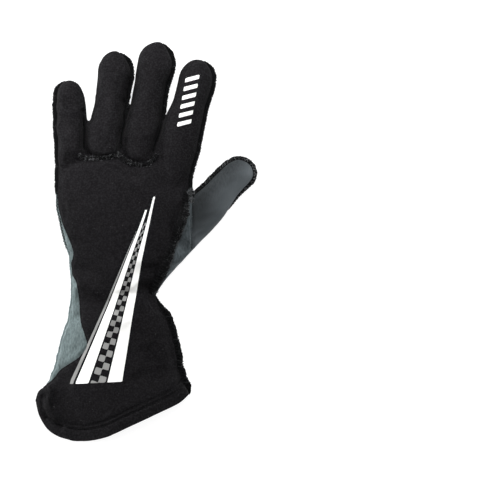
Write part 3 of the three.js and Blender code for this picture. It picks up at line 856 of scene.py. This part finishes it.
# The long gusset on the little finger's side is suede too, in a paler grey. It widens the cuff and
# folds in a little at the wrist. Its colour is darkened at its upper end with painted shade.
GUSSET_COLOUR = (0.088, 0.112, 0.114)
GUSSET_PAINTED_SHADE = ((-0.071, 0.036, 0.012), 0.034, 0.8)
gusset_suede = suede_material("gusset_suede", GUSSET_COLOUR, painted_shade=GUSSET_PAINTED_SHADE)
add_piece("side_gusset_suede", with_thickness(gusset_part), gusset_suede, "side_gusset")

# The thumb is made of two shaped pieces of suede, a back and a front, set into the palm. Its colour has
# painted shade near the crotch and painted light that grows towards the outer side.
THUMB_COLOUR = (0.0232, 0.0262, 0.0282)
THUMB_PAINTED_SHADE = ((0.041, 0.024, 0.018), 0.03, 0.68)
THUMB_PAINTED_LIGHT = ((0.738, -0.674, 0), (0.008, 0.034), 4.3)
thumb_suede = suede_material(
    "thumb_suede", THUMB_COLOUR, THUMB.lean, THUMB_PAINTED_SHADE, THUMB_PAINTED_LIGHT, sheen=0.06)
add_piece("thumb_back_suede", with_thickness(thumb_back_part), thumb_suede, "thumb_back")
add_piece("thumb_front_suede", with_thickness(thumb_front_part), thumb_suede, "thumb_front")

# The seams of the fingers, the thumb, the gusset and the cuff's side stand outside: two cloth edges lie
# together as a flange, bound over their edge by overlock thread, with a black needle line close to the
# glove, which also stands in as painted shade for the groove at the flange's root.
# Sizes are (reach, thickness). Shades run from 0, dark, to 1, light, and are given as (palest plain
# thread, palest plain curl, share of light flecks).
HIGH = (3.1, 2.3)
FLAT = (1.4, 1.8)
# The cuff's side flange is made wide and black: partly the real bound seam, partly painted shade for the fold
# beside it.
CUFF_FLANGE_AND_SHADE = (5, 1.8)
BLACK = (0.05, 0.1, 0.05)
FRAYED = (0.03, 0.7, 0.2)
GREY = (0.35, 0.7, 0.5)
OVERLOCK_PITCH = 2.4
OVERLOCK_RADIUS = 0.32
EDGE_NIP = 0.05
EDGE_WANDER = 0.13
# The needle line, as (out, up, radius): black thread that is also painted shade in the groove at the seam's
# root.
NEEDLE_LINE_AND_SHADE = (0.2, 0.25, 0.28)
CURLS_PER_MILLIMETRE = 4
CURL_SIZE = 0.5
CURL_RADIUS = 0.11
CURL_PLACES = 5
CURL_SIDES = 3
CURL_LIGHT = 0.9
THREAD_LIGHT = 0.7
SEAM_STEP = 0.6
STRANDS_PER_PATCH = 30
# The gusset seam's cut edge is a paler suede: partly the pale core of cut suede, partly painted light that
# lifts it out of the shade under the gusset's bulge.
CUT_EDGE_AND_PAINTED_LIGHT_COLOUR = (0.19, 0.235, 0.24)
cut_suede_and_painted_light = suede_material("cut_suede_and_painted_light", CUT_EDGE_AND_PAINTED_LIGHT_COLOUR)

# Each as (name, start, end, how it fades out there, size, edge material, share bound, shades).
SIDE_SEAMS = [
    ("little_finger_seam", (-63.6, 128), (-70.4, 33), (9, 10), HIGH, back_knit, 1, BLACK),
    ("ring_finger_seam", (-20, 152), (-13.6, 110), (9, 4), HIGH, black_thread, 1, BLACK),
    ("middle_finger_seam", (14, 159), (15.6, 102), (9, 5), HIGH, black_thread, 1, BLACK),
    ("index_finger_seam", (47, 146), (37, 40.6), (9, 0.6), HIGH, black_thread, 1, BLACK),
    ("thumb_seam", (34, 43.5), (66, 24.5), (0.6, 30), HIGH, black_thread, 1, GREY),
    ("gusset_seam", (-70, 44), (-78, -110), (6, 5), FLAT, cut_suede_and_painted_light, 0.32, BLACK),
    ("cuff_side_seam", (8, -43), (37.6, -122), (18, 7), CUFF_FLANGE_AND_SHADE, black_thread, 1, FRAYED),
]


def stretch(loop, start, end):
    """The part of a closed line between the places nearest to two given ones, the shorter way round."""
    first, last = [int(np.argmin(np.linalg.norm(loop[:, :2] - place, axis=1))) for place in (start, end)]
    one_way = np.roll(loop, -first, axis=0)[:(last - first) % len(loop) + 1]
    other_way = np.roll(loop, -last, axis=0)[:(first - last) % len(loop) + 1]
    return one_way if len(one_way) < len(other_way) else other_way[::-1]


def wavering(seam, spread, rounds=4):
    """A smooth random change along a seam."""
    return smoothed(draw.normal(0, spread, (len(seam.run), 1)), rounds)


def strip_along(seam, out, up):
    """A closed strip, from how far out and up its corners lie at each place along a seam."""
    return tubes_through(on_seam(seam, np.broadcast_to(seam.run[:, None], out.shape), out, up)[None])


def flange(seam, reach, thickness, root=-0.8):
    """The two cloth edges of an outside seam, with a soft rounded edge that wanders a little."""
    half = thickness / 2
    profile = np.array([
        (root, -half), (0.72 * reach, -half), (0.94 * reach, -0.62 * half), (reach, 0),
        (0.94 * reach, 0.62 * half), (0.7 * reach, half), (0.5 * reach, 0.8 * half),
        (0.42 * reach, 0.35 * half), (0.3 * reach, 0.8 * half), (root, 0.7 * half),
    ])
    drawn_in = EDGE_NIP * np.cos(2 * np.pi * seam.run[:, None] / OVERLOCK_PITCH)
    wander = drawn_in + wavering(seam, EDGE_WANDER, 3)
    out = np.where(profile[:, 0] > 0, profile[:, 0] * (1 + wander), profile[:, 0])
    up = profile[:, 1] * (1 + drawn_in) + wavering(seam, 0.2, 6)
    return strip_along(seam, out, up)


def overlock(seam, wrap, pitch, radius, jitter=0.12):
    """Threads that wrap the seam, slanting one way and then the other; wrap is (along, out, up)."""
    count = max(int(seam.run[-1] / pitch) - 1, 1)
    shapes = []
    for slant, shift in ((1, 0.2), (-1, 0.7)):
        start = pitch * (np.arange(count) + shift) + draw.normal(0, jitter, count)
        along = start[:, None] + slant * wrap[:, 0] * pitch
        out = wrap[:, 1] + draw.normal(0, jitter, (count, 1)) * 0.7
        up = wrap[:, 2] + draw.normal(0, jitter, (count, 1)) * 0.5
        shapes.append(strands(on_seam(seam, along, out, up), radius))
    return joined_shapes(shapes)


def thread_curls(seam, per_millimetre, out_range, up_range, size=CURL_SIZE):
    """Small curls of thread end that stand about a seam every way."""
    count = int(seam.run[-1] * per_millimetre)
    first = unit(draw.normal(0, 1, (count, 1, 3)))
    second = unit(np.cross(first, draw.normal(0, 1, (count, 1, 3))))
    turn = np.linspace(0, 1, CURL_PLACES)[:, None] * draw.uniform(2, 4.5, (count, 1, 1))
    reach = size * draw.uniform(0.5, 1.3, (count, 1, 1))
    moves = reach * (first * np.cos(turn) + second * np.sin(turn))
    along = np.sort(draw.uniform(0, seam.run[-1], (count, 1)), axis=0) + moves[..., 0]
    out = draw.uniform(*out_range, (count, 1)) + moves[..., 1]
    up = draw.uniform(*up_range, (count, 1)) + moves[..., 2]
    return strands(on_seam(seam, along, out, up), CURL_RADIUS, sides=CURL_SIDES)


def shades_for(shape, corners_per_strand, palest, light_share, light):
    """A shade for each strand: mostly plain, and here and there a patch with light flecks in it."""
    count = -(-len(shape[0]) // corners_per_strand)
    shade = draw.uniform(0, palest, count)
    patches = draw.uniform(0, 1, count // STRANDS_PER_PATCH + 2) ** 2
    patch_places = STRANDS_PER_PATCH * np.arange(len(patches))
    share = 3 * light_share * np.interp(np.arange(count), patch_places, patches)
    shade[draw.uniform(0, 1, count) < share] = light
    return np.repeat(shade, corners_per_strand)[:len(shape[0])]


def add_seam(name, body, threads, thread_places, curls, edge_material, thread_shade, curl_shade, fleck):
    """A seam as two pieces: its cloth edges, and its thread with the curls that fray from it."""
    add_piece(f"{name}_edge", body, edge_material, name)
    thread = add_piece(f"{name}_thread", joined_shapes([threads, curls]), black_thread)
    thread_light = min(4 * thread_shade, THREAD_LIGHT)
    with_shade(thread, np.concatenate([
        shades_for(threads, thread_places * THREAD_SIDES, thread_shade, fleck / 2, thread_light),
        shades_for(curls, CURL_PLACES * CURL_SIDES, curl_shade, fleck, CURL_LIGHT),
    ]))


outline = max(zero_lines(form_points, form_triangles, above_seams(form_points)), key=len)
for name, start, end, fade, (reach, thickness), edge_material, bound_share, shades in SIDE_SEAMS:
    seam = seam_along(stretch(outline, start, end), SEAM_STEP, outward=True, fade=fade)
    half = thickness / 2
    wrap = np.array([
        (-0.25, 0.15, half - 0.1), (-0.1, 0.3 * reach, half + 0.1), (0.1, 0.7 * reach, half + 0.06),
        (0.2, reach, 0.5 * half), (0.24, reach + 0.06, -0.5 * half), (0.3, 0.75 * reach, -half - 0.08),
        (0.4, 0.3 * reach, -half - 0.05),
    ])
    bound = Seam(*[values[:int(bound_share * len(seam.run))] for values in seam])
    threads = overlock(bound, wrap, OVERLOCK_PITCH, OVERLOCK_RADIUS)
    curls = thread_curls(bound, CURLS_PER_MILLIMETRE, (0.5 * reach, reach), (-half, half))
    add_seam(name, flange(seam, reach, thickness), threads, len(wrap), curls, edge_material, *shades)
    if bound_share < 1:
        continue
    # Black needle line: partly stitching, partly painted shade along the flange's root.
    along = bound.run[None]
    line_out, line_up, line_radius = NEEDLE_LINE_AND_SHADE
    needle_line_and_shade = on_seam(bound, along, np.full_like(along, line_out), np.full_like(along, half + line_up))
    needle = add_piece(f"{name}_needle_line_and_shade", strands(needle_line_and_shade, line_radius), black_thread)
    with_shade(needle, np.zeros(len(needle.data.vertices)))

# Two more seams lie on top of the glove: one sets the ring and middle finger backs into the back panel,
# and one joins the back to the palm beside the thumb. Their cloth edges stand up, matted with thread.
KNUCKLE_RIDGE = [
    (-53.4, 70.4), (-50.6, 66.6), (-46, 65.4), (-41, 65.8), (-33.2, 66.6), (-27.6, 67.8), (-23.6, 69.6),
    (-19.6, 67.6), (-15.6, 63.8), (-10.4, 61.2), (-4.4, 60.6), (1.8, 61.6), (6.6, 65), (10.4, 70.4),
]
SIDE_RIDGE_SHIFTS = [(-34, -3.6), (-22, -2), (-11, -2), (0, -1.6), (13, -0.6), (26, 0.7), (32, 0.8)]
CROTCH_Y = 40.0
WRIST_Y = -44.0
RIDGE_FADE = (2.5, 2.5)
RIDGE_JITTER = 0.25
RIDGE_CURL_SIZE = 0.7
ABOVE_GLOVE = 80.0
MIDDLE_HEIGHT = 16.0


def on_top(places):
    """Plan places set down on the glove from above, or on its nearest side where they miss it."""
    landed = []
    for x, y in places:
        below = surface.ray_cast(Vector((x, y, ABOVE_GLOVE)), Vector((0, 0, -1)))[0]
        landed.append(below or surface.find_nearest(Vector((x, y, MIDDLE_HEIGHT)))[0])
    return np.array(landed)


def top_ridge(seam, width, height):
    """Two cloth edges that stand up from a seam, uneven and wandering from side to side."""
    angle = np.linspace(0, np.pi, 7)
    profile = np.stack([width / 2 * np.cos(angle), height * np.sin(angle) ** 0.8 - 0.3], axis=1)
    profile = np.vstack([profile, (-0.35 * width, -0.7), (0.35 * width, -0.7)])
    out = profile[:, 0] * (1 + wavering(seam, 0.3)) + wavering(seam, 0.5)
    up = profile[:, 1] * (1 + wavering(seam, 0.35))
    return strip_along(seam, out, up)


side_places = curve_through(THUMB_SIDE_JOIN)
side_places = side_places[(side_places[:, 1] < CROTCH_Y) & (side_places[:, 1] > WRIST_Y)]
side_places[:, 0] += np.interp(side_places[:, 1], *zip(*SIDE_RIDGE_SHIFTS))

# Each as (name, places, width, height, curls a millimetre, where the curls start, shades).
TOP_RIDGES = [
    ("knuckle_seam", curve_through(KNUCKLE_RIDGE), 3.4, 1.9, 14, -1.2, (0.06, 0.12, 0.3)),
    ("back_side_seam", side_places, 6.8, 1.8, 12, -0.1, (0.03, 0.5, 0.05)),
]
for name, places, width, top, curliness, curls_from, shades in TOP_RIDGES:
    seam = seam_along(on_top(places), SEAM_STEP, fade=RIDGE_FADE)
    half = width / 2
    wrap = np.array([
        (-0.3, -half - 0.1, 0.0), (-0.2, -0.8 * half, 0.6 * top), (-0.05, -0.3 * half, top - 0.2),
        (0.1, 0.3 * half, top - 0.2), (0.25, 0.8 * half, 0.6 * top), (0.35, half + 0.1, 0.0),
    ])
    threads = overlock(seam, wrap, OVERLOCK_PITCH, OVERLOCK_RADIUS, RIDGE_JITTER)
    curls = thread_curls(seam, curliness, (curls_from * half, 1.2 * half), (0.2, top), RIDGE_CURL_SIZE)
    add_seam(name, top_ridge(seam, width, top), threads, len(wrap), curls, black_thread, *shades)

# Between the fingers, the side seams run on down to the knuckle seam. Only their matted thread shows,
# deep in the folds.
ROOT_SEAMS = [
    [(-49.8, 101), (-48.8, 93), (-48.8, 84), (-48.6, 76), (-46.6, 70)],
    [(-16.8, 109), (-17, 94), (-18.8, 85), (-19.6, 73)],
    [(13.6, 97), (11.8, 89), (8.4, 79), (6.4, 71)],
]
ROOT_SEAM_RADIUS = 1.3
ROOT_SEAM_TAPER = 6.0
ROOT_SEAM_FADE = (3, 3)
ROOT_SEAM_OUT = -0.4
ROOT_SEAM_UP = -0.3

# Shades as (palest plain strand, share of light flecks, shade of the flecks).
ROOT_CURL_SHADES = (0.05, 0.02, 0.5)
root_threads, root_curls = [], []
for places in ROOT_SEAMS:
    seam = seam_along(on_top(curve_through(places)), SEAM_STEP, fade=ROOT_SEAM_FADE)
    along = seam.run[None]
    wander = wavering(seam, 0.5).T + ROOT_SEAM_OUT
    thin = ROOT_SEAM_RADIUS * np.clip(np.minimum(along, along[:, -1:] - along) / ROOT_SEAM_TAPER, 0.1, 1)
    root_threads.append(strands(on_seam(seam, along, wander, np.full_like(along, ROOT_SEAM_UP)), thin))
    root_curls.append(thread_curls(seam, CURLS_PER_MILLIMETRE, (-0.8, 0.8), (0, 1)))
root_thread, root_curl = joined_shapes(root_threads), joined_shapes(root_curls)
root_shape = joined_shapes([root_thread, root_curl])
root_seams = add_piece("finger_root_seams", root_shape, black_thread)
with_shade(root_seams, np.concatenate([
    np.zeros(len(root_thread[0])), shades_for(root_curl, CURL_PLACES * CURL_SIDES, *ROOT_CURL_SHADES),
]))

# A bar tack closes the seams at the thumb's crotch: a short thick bar of grey thread, sewn to and fro
# over the meeting of the thumb's seam and the back's.
TACK_START = (33.2, 40.4)
TACK_END = (37.4, 30)
TACK_WIDTH = 4.4
TACK_HEIGHT = 2
TACK_DETAIL = 12
TACK_STEP = 0.5
TACK_FADE = (0.6, 3)
TACK_PITCH = 0.9
TACK_THREAD_RADIUS = 0.2
TACK_JITTER = 0.4
TACK_CURLINESS = 26
TACK_CURL_SIZE = 0.9
TACK_BODY_SHADE = 0.05
TACK_THREAD_SHADES = (0.3, 0.2, 0.8)
TACK_CURL_SHADES = (0.4, 0.2, 0.9)
grey_thread = thread_material("grey_thread", (0.015, 0.016, 0.017), (0.2, 0.21, 0.215))
tack_line = on_top(np.linspace(TACK_START, TACK_END, TACK_DETAIL))
tack_seam = seam_along(tack_line, TACK_STEP, fade=TACK_FADE)
tack_body = top_ridge(tack_seam, TACK_WIDTH, TACK_HEIGHT)
half = TACK_WIDTH / 2
tack_wrap = np.array([
    (-0.3, -half - 0.2, -0.1), (-0.1, -0.5 * half, TACK_HEIGHT - 0.1), (0.1, 0.5 * half, TACK_HEIGHT - 0.1),
    (0.3, half + 0.2, -0.1),
])
tack_thread = overlock(tack_seam, tack_wrap, TACK_PITCH, TACK_THREAD_RADIUS, TACK_JITTER)
tack_curls = thread_curls(tack_seam, TACK_CURLINESS, (-half, half), (0.2, TACK_HEIGHT), TACK_CURL_SIZE)
tack_threads = joined_shapes([tack_thread, tack_curls])
tack = add_piece("thumb_bar_tack_edge", tack_body, grey_thread, "thumb_bar_tack")
with_shade(tack, np.full(len(tack_body[0]), TACK_BODY_SHADE))
tack = add_piece("thumb_bar_tack_thread", tack_threads, grey_thread)
with_shade(tack, np.concatenate([
    shades_for(tack_thread, len(tack_wrap) * THREAD_SIDES, *TACK_THREAD_SHADES),
    shades_for(tack_curls, CURL_PLACES * CURL_SIDES, *TACK_CURL_SHADES),
]))

# Racing stripes are screen printed on the back in white and grey: two bands that widen from the
# knuckles to the cuff, with a chequered strip between them, and a row of slanted bars on the index
# finger. The ink lies on the knit as a thin matt skin.
PRINT_GUIDE = [(6, 36), (0, 14), (-8, -12), (-16, -40), (-24, -68), (-31, -92), (-38, -116)]
PRINT_END = 4
PRINT_SLANT = 0.35
PRINT_RAISED = 0.09
PRINT_THICKNESS = 0.2
FLARE_START = 0.12
FLARE_POWER = 1.3

# Each band as (from, to, start): how far left of the guide it lies, and how far along it starts.
WHITE_BANDS = [(7.4, 19.6, 0), (-17, -7.4, 12)]
GREY_BAND = (-21.5, -18.8, 30)
CHEQUER_HALF_WIDTH = 5.8
CHEQUER_START = 22
CHEQUER_CELL = (2.2, 3.6)
CHEQUER_TABLE = 400
FINGER_BAR_PLACES = np.linspace(21, 57, 6)
FINGER_BAR_HALF_LENGTH = 1.7
FINGER_BAR_HALF_WIDTH = 5.2
FINGER_BAR_SHIFT = -3.2
FINGER_BAR_SLANT = 0.45
FINGER_AXIS_LENGTH = 80


def beside(points, line):
    """How far along a plan line each point lies, how far to its left, and how long the line is."""
    run = running_total(np.linalg.norm(np.diff(line, axis=0), axis=1))
    best = np.full(len(points), np.inf)
    along = np.zeros(len(points))
    left = np.zeros(len(points))
    for start, end, before in zip(line, line[1:], run):
        length = np.linalg.norm(end - start)
        heading = (end - start) / length
        away = points[:, :2] - start
        share = np.clip(away @ heading, 0, length)
        gap = np.linalg.norm(away - share[:, None] * heading, axis=1)
        nearer = gap < best
        best[nearer] = gap[nearer]
        along[nearer] = (before + away @ heading)[nearer]
        left[nearer] = (heading[0] * away[:, 1] - heading[1] * away[:, 0])[nearer]
    return along, left, run[-1]


def print_material(name, colour, worn):
    """Matt ink that takes on the knit beneath it, a little thin in places."""
    material, tree, where = new_material(name, 0.6)
    height = knit_height(tree, where)
    thin = times(tree, noise(tree, where, 420, detail=4, low=0.55, high=0.8), worn)
    low = worked_out(tree, "MULTIPLY_ADD", height, -0.12, 0.12)
    tint = blended(tree, noise(tree, where, 60), colour, scaled(colour, 0.93))
    tint = blended(tree, low, tint, scaled(colour, 0.4))
    set_surface(tree, blended(tree, thin, tint, scaled(colour, 0.5)), height, 0.3, 0.00015)
    return material


white_ink = print_material("white_print", (0.9, 0.9, 0.88), 0.1)
grey_ink = print_material("grey_print", (0.215, 0.215, 0.21), 0.15)
back_points, back_triangles = back_part
along, left, guide_length = beside(back_points, curve_through(PRINT_GUIDE))


def flare_at(along):
    """How wide the stripes are, as a share of their width at the cuff."""
    return FLARE_START + (1 - FLARE_START) * np.clip(along / guide_length, 0, 1) ** FLARE_POWER


def cell_at(along):
    """How long the chequers are."""
    return CHEQUER_CELL[0] + CHEQUER_CELL[1] * flare_at(along)


flare = flare_at(along)
ends = guide_length - PRINT_END - (along + PRINT_SLANT * left)
first_white, second_white, grey_line = [
    np.minimum.reduce([left - low * flare, high * flare - left, ends, along - start])
    for low, high, start in (*WHITE_BANDS, GREY_BAND)]

finger_lean = math.radians(INDEX_FINGER.lean)
finger_end = FINGER_AXIS_LENGTH * np.array([math.sin(finger_lean), math.cos(finger_lean)])
finger_axis = np.array([INDEX_FINGER.root, INDEX_FINGER.root + finger_end])
finger_along, finger_left, _ = beside(back_points, finger_axis)
across = finger_left + FINGER_BAR_SHIFT
finger_bars = [np.minimum(FINGER_BAR_HALF_LENGTH - np.abs(finger_along + FINGER_BAR_SLANT * across - place),
                          FINGER_BAR_HALF_WIDTH - np.abs(across))
               for place in FINGER_BAR_PLACES]
white_area = np.maximum.reduce([first_white, second_white, *finger_bars])

table_run = np.linspace(0, guide_length, CHEQUER_TABLE)
table_count = running_total(np.diff(table_run) / cell_at(table_run)[:-1])
count_along = np.interp(along, table_run, table_count)
parity = np.where(np.floor(count_along) % 2 == 0, 1, -1)
to_line = (0.5 - np.abs(count_along % 1 - 0.5)) * cell_at(along) * parity
square = np.minimum(np.abs(to_line), np.abs(left)) * np.sign(to_line * left)
chequers = np.minimum.reduce([square, CHEQUER_HALF_WIDTH * flare - np.abs(left), ends, along - CHEQUER_START])
grey_area = np.maximum(chequers, grey_line)

for name, area, ink in (("white_print", white_area, white_ink), ("grey_print", grey_area, grey_ink)):
    printed = cut(back_points, back_triangles, area)[0]
    add_piece(name, with_thickness(printed, PRINT_THICKNESS, PRINT_RAISED), ink)

# A plain pale floor under the glove, matt and very slightly mottled. It glows a little, like a light
# table, so the glove throws only faint shadows on it.
FLOOR_HALF = 3000.0
FLOOR_GLOW = 0.9
floor_corners = np.array([(-1, -1, 0), (1, -1, 0), (1, 1, 0), (-1, 1, 0)]) * FLOOR_HALF
floor = new_mesh_object("floor", floor_corners, [(0, 1, 2, 3)])
floor_material, floor_tree, floor_place = new_material("pale_floor", 0.8)
floor_mottle = noise(floor_tree, floor_place, 3)
set_inputs(floor_tree, floor_tree.nodes["Principled BSDF"], {
    "Base Color": blended(floor_tree, floor_mottle, (0.26, 0.26, 0.26), (0.24, 0.24, 0.24)),
    "Emission Color": (1, 1, 1), "Emission Strength": FLOOR_GLOW,
})
floor.data.materials.append(floor_material)

# Soft studio light: a large softbox overhead, one beyond the fingertips, and one low on each side, of
# which the little finger's is much the stronger. Each is (name, place, power, size).
WORLD_STRENGTH = 0.06
SOFTBOXES = [
    ("overhead_softbox", (0.1, 0.3, 1.6), 13.5, 0.8),
    ("far_softbox", (-0.05, 0.66, 0.46), 7.5, 0.5),
    ("left_softbox", (-1.3, 0.25, 0.3), 30, 0.5),
    ("right_softbox", (1.2, 0.3, 0.3), 8, 0.5),
]
scene = bpy.context.scene
world = bpy.data.worlds.new("studio")
world.use_nodes = True
background = world.node_tree.nodes["Background"]
set_inputs(world.node_tree, background, {"Color": (1, 1, 1), "Strength": WORLD_STRENGTH})
scene.world = world
scene.view_settings.view_transform = "Standard"
for name, place, power, size in SOFTBOXES:
    light_data = bpy.data.lights.new(name, "AREA")
    light_data.energy = power
    light_data.size = size
    light = bpy.data.objects.new(name, light_data)
    light.location = place
    light.rotation_euler = (-Vector(place)).to_track_quat("-Z", "Y").to_euler()
    scene.collection.objects.link(light)

# The camera looks straight down through a long lens. Its frame is this wide at the height of the
# glove's outline, where one of the photograph's 480 columns is 0.8 mm.
FRAME_WIDTH = 0.384
FRAME_CENTRE = (0.0756, 0.001)
SILHOUETTE_HEIGHT = 0.010
camera_data = bpy.data.cameras.new("camera")
camera_data.lens = 200
camera_data.sensor_width = 36
camera_data.clip_end = 100
camera = bpy.data.objects.new("camera", camera_data)
scene.collection.objects.link(camera)
camera_height = SILHOUETTE_HEIGHT + FRAME_WIDTH * camera_data.lens / camera_data.sensor_width
camera.location = (*FRAME_CENTRE, camera_height)
scene.camera = camera
